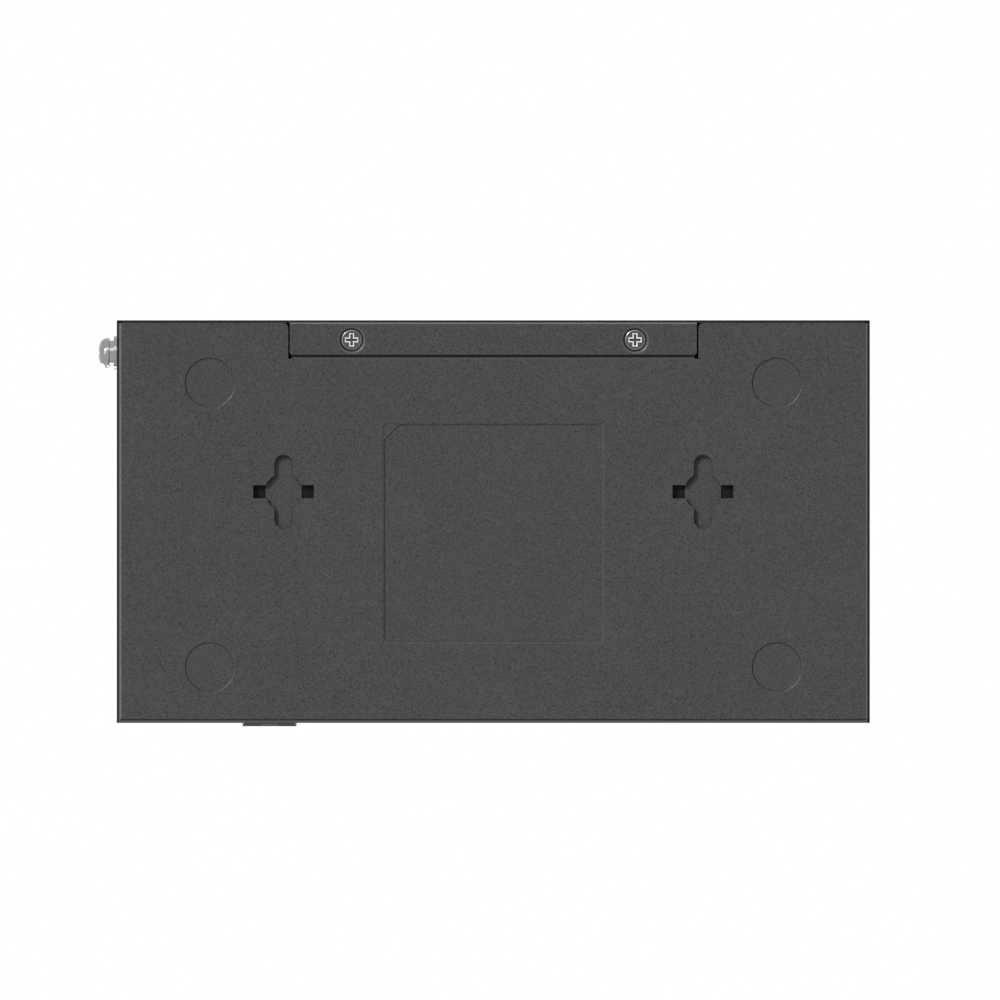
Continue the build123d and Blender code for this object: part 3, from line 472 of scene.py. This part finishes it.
def grid_mesh(name, grids, look):
    """One smooth object from grids of points that close round their columns."""
    points, faces, start = [], [], 0
    for grid in grids:
        rows, columns = grid.shape[:2]
        number = np.arange(rows * columns).reshape(rows, columns) + start
        after = np.roll(number, -1, axis=1)
        faces.append(np.stack([number[:-1], number[1:], after[1:], after[:-1]], axis=-1).reshape(-1, 4))
        points.append(grid.reshape(-1, 3))
        start += rows * columns
    mesh = bpy.data.meshes.new(name)
    mesh.from_pydata(np.concatenate(points).tolist(), [], np.concatenate(faces).tolist())
    mesh.polygons.foreach_set("use_smooth", np.ones(len(mesh.polygons), dtype=bool))
    mesh.materials.append(LOOKS[look])
    mesh.update()
    made = bpy.data.objects.new(name, mesh)
    bpy.context.scene.collection.objects.link(made)
    return made


def turned_to(grid, centre, toward):
    """A grid whose +Z is turned to the direction toward and whose origin is moved to the centre."""
    z = np.array(toward)
    x = np.array((0.0, 1.0, 0.0))
    y = np.cross(z, x)
    return grid @ np.stack([x, y, z]) + np.array(centre)


def arc(radius, start, end, count):
    """Points on a circle's arc round the origin, between two angles in degrees."""
    angle = np.radians(np.linspace(start, end, count))
    return radius * np.cos(angle), radius * np.sin(angle)


# Countersunk cover screws, whose faces look down
head_radius = (SCREWS_HIGH.y - SCREWS_LOW.y) / 2
rim = 0.24 * MM
cone_end = head_radius - M3_RADIUS
edge_r, edge_z = arc(rim, 90, -30, 7)
face = (np.linspace(0.0, head_radius - 1.5 * rim, FACE_ROWS), np.zeros(FACE_ROWS))
flank = (np.append(edge_r + head_radius - rim, M3_RADIUS), np.append(edge_z - rim, -rim * 2 - cone_end))
cover_grid = screw_surface(face, flank, M3_RADIUS, SCREWS_LOW.z - SCREWS_HIGH.z, M3_PITCH, M3_THREAD,
                           M3_CROSS)
middle = (SCREWS_LOW.y + SCREWS_HIGH.y) / 2
screws = grid_mesh("smooth_cover_screws", [
    turned_to(cover_grid, (x, middle, SCREWS_LOW.z), (0, 0, -1))
    for x in (SCREWS_LOW.x + head_radius, SCREWS_HIGH.x - head_radius)], "flap_screw")
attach(screws, "chassis")
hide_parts("cover_screws")

# Domed ground screw on the wall at +X, with a washer behind its head
low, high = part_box("ground_screw")
head_radius = (high.y - low.y) / 2
head_height = high.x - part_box("ground_spring_washer")[1].x
shoulder = head_height * 0.12
fullness = 0.8
dome_turn = np.radians(np.linspace(90.0, 0.0, DOME_ROWS))
face = (head_radius * np.cos(dome_turn) ** fullness,
        (head_height - shoulder) * (np.sin(dome_turn) ** fullness - 1))
flank = ([head_radius, head_radius * 0.99, M4_RADIUS],
         [-head_height + 0.1 * MM, -head_height, -head_height])
ground_grid = screw_surface(face, flank, M4_RADIUS, low.x - high.x, M4_PITCH, M4_THREAD, M4_CROSS)
ground_screw = grid_mesh("smooth_ground_screw", [turned_to(
    ground_grid, (high.x, (low.y + high.y) / 2, (low.z + high.z) / 2), (1, 0, 0))], "bright_screw")
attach(ground_screw, "chassis")
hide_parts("ground_screw")


def sun(name, strength, aim, spread):
    """A sun that shines along the vector aim and is as wide as a spread in degrees."""
    lamp = bpy.data.lights.new(name, "SUN")
    lamp.energy = strength
    lamp.angle = math.radians(spread)
    holder = bpy.data.objects.new(name, lamp)
    bpy.context.scene.collection.objects.link(holder)
    length = math.sqrt(sum(c * c for c in aim))
    x, y, z = (c / length for c in aim)
    holder.rotation_euler = (math.acos(-z), 0.0, math.atan2(y, x) - math.pi / 2)


def emptied(tree):
    """A net over a node tree that has lost its first nodes."""
    for old in list(tree.nodes):
        tree.nodes.remove(old)
    return Net(tree)


sun("key from below", 1.7, (-0.45, -0.42, 0.79), 10)
sun("key from above", 3.0, (-0.35, 0.5, -0.8), 15)
sun("fill from the front", 1.3, (0.25, 0.8, -0.45), 40)
sun("fill from above", 0.9, (0.5, 0.2, -0.8), 60)

# World: white for the camera, for mirrors and through clear plastic, and a soft box for plain light
world = bpy.data.worlds.new("studio")
bpy.context.scene.world = world
world.use_nodes = True
sky = emptied(world.node_tree)
camera_rays, glossy_rays, clear_rays = (
    sky.node("ShaderNodeLightPath", output=f"Is {kind} Ray")
    for kind in ("Camera", "Glossy", "Transmission"))
seen = (camera_rays + glossy_rays + clear_rays).clamp()
towards = sky.node("ShaderNodeTexCoord", output="Generated")

# Bright patches of the sky: direction, its cosine where the patch starts and is full, and strength
PANELS = (((0.55, 0.05, -0.83), 0.94, 0.98, 2.2),
          ((0.05, 0.55, -0.83), 0.94, 0.98, 2.2),
          ((0.0, -0.9, -0.4), 0.82, 0.93, 0.9))


def panel(direction, edge, core, strength):
    """One patch: the dot product with its direction, ramped from edge to core."""
    facing = sky.node("ShaderNodeVectorMath", [towards, direction], output="Value", operation="DOT_PRODUCT")
    return ((facing - edge) / (core - edge)).clamp() * strength


height = sky.node("ShaderNodeSeparateXYZ", [towards], output="Z")
front_glow = (height * -1.0).clamp() ** 2.0 * 0.05 + 0.01
top_glow = (height - 0.3).clamp() * 0.2
glow = front_glow + top_glow
for patch in PANELS:
    glow = glow + panel(*patch)
strength = seen.math("MAXIMUM", glow)
background = sky.node("ShaderNodeBackground", {"Color": (1.0, 1.0, 1.0, 1.0), "Strength": strength})
sky.node("ShaderNodeOutputWorld", [background])

# Floor: a white plane that keeps the part's shadow, and that light and a camera from below pass
reach, depth = 1.5, -0.3 * MM
floor_mesh = bpy.data.meshes.new("floor")
floor_mesh.from_pydata([(-reach, -reach, depth), (reach, -reach, depth),
                        (reach, reach, depth), (-reach, reach, depth)], [], [(0, 1, 2, 3)])
floor = bpy.data.objects.new("floor", floor_mesh)
bpy.context.scene.collection.objects.link(floor)
floor_look = bpy.data.materials.new("floor")
floor_look.use_nodes = True
ground = emptied(floor_look.node_tree)
white = ground.node("ShaderNodeBsdfDiffuse", {"Color": (0.9, 0.9, 0.9, 1.0)})
clear = ground.node("ShaderNodeBsdfTransparent")
behind = ground.node("ShaderNodeNewGeometry", output="Backfacing")
both = ground.node("ShaderNodeMixShader", [behind, white, clear])
ground.node("ShaderNodeOutputMaterial", [both])
floor_mesh.materials.append(floor_look)
floor.visible_shadow = False
floor.visible_diffuse = False
floor.visible_glossy = False
floor.visible_transmission = False

# Camera: square on to the underside, with the rear at the top of the picture
eye = bpy.data.cameras.new("camera")
eye.type = "ORTHO"
eye.ortho_scale = PICTURE_WIDTH
camera = bpy.data.objects.new("camera", eye)
camera.location = (*UNDERSIDE_CENTRE, -1.0)
camera.rotation_euler = (0.0, math.pi, 0.0)
bpy.context.scene.collection.objects.link(camera)
bpy.context.scene.camera = camera
bpy.context.scene.view_settings.view_transform = "Standard"
